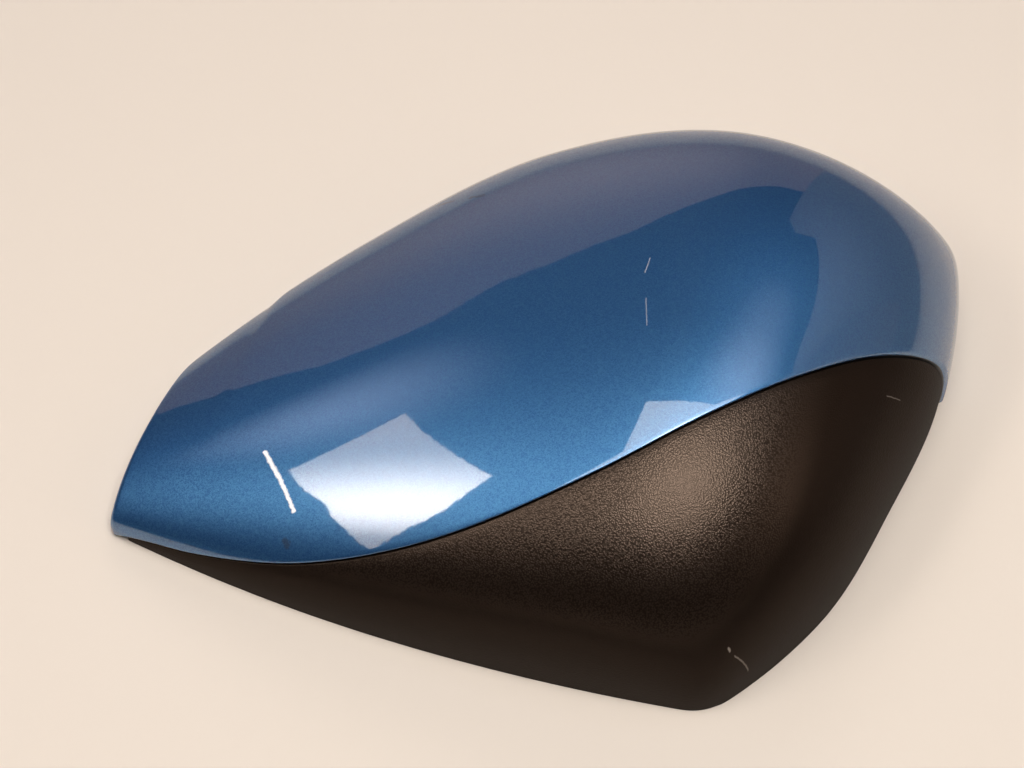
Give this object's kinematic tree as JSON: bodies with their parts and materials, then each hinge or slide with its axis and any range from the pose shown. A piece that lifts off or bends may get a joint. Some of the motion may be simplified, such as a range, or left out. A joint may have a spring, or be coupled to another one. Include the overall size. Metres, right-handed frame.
{
  "type": "wing mirror cover",
  "caption": "Domed teardrop cover of a car's wing mirror: a painted shell over a grained lower shell, meeting at an S-shaped parting line, with a flat open rim.",
  "frame": {"origin": "centre of the bounding box in plan, in the plane of the rim", "axes": "+X along the length from the narrow outboard end to the broad inboard end, +Y to the painted upper edge, +Z away from the rim"},
  "size_m": [0.2492, 0.1692, 0.0575],
  "materials": {
    "blue_paint": "metallic basecoat under gloss clear coat, on a plastic moulding",
    "grained_black": "fine leather-like moulded grain, satin"
  },
  "bodies": {
    "root": {"painted_cover": "blue_paint", "lower_cover": "grained_black"}
  },
  "joints": []
}
